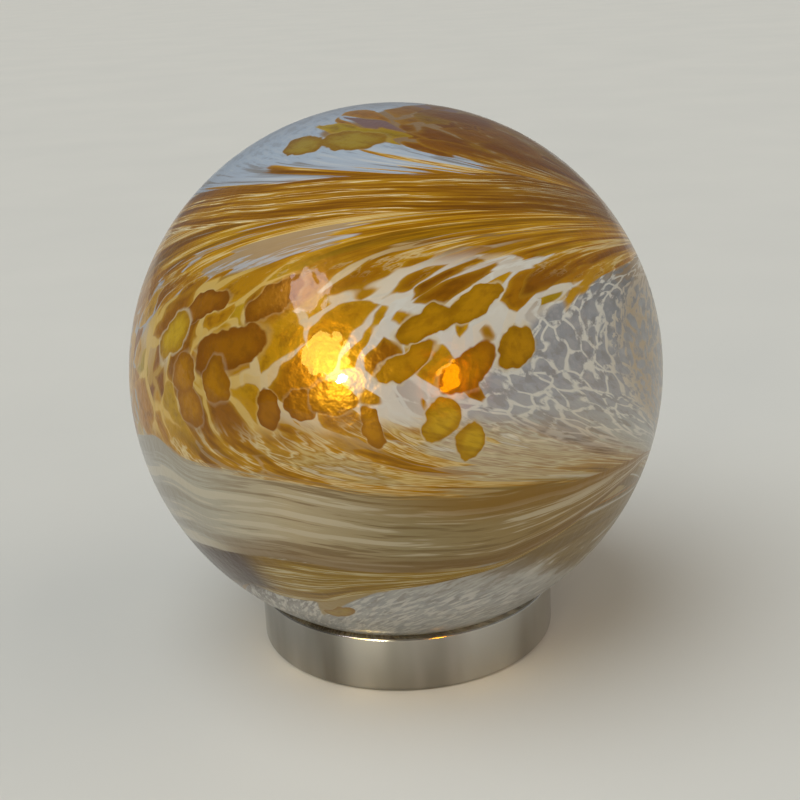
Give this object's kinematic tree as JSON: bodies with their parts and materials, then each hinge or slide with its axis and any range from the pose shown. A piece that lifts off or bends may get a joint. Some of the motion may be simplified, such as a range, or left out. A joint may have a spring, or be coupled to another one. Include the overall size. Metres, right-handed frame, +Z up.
{
  "type": "witch ball",
  "caption": "Sealed art glass ball with swirled amber and milky bands, resting in a low polished metal ring stand.",
  "frame": {"origin": "centre of the ring stand's underside, on the surface that the object stands on", "axes": "+Z up through the centres of the ring and the ball; -Y is the side that the picture shows"},
  "size_m": [0.12, 0.12, 0.1233],
  "materials": {
    "art_glass": "clear fire-polished gather over amber chips and milky powder, swirled",
    "polished_metal": "polished, slightly soft reflections"
  },
  "bodies": {
    "root": {"glass_ball": "art_glass", "ring_stand": "polished_metal"}
  },
  "joints": []
}
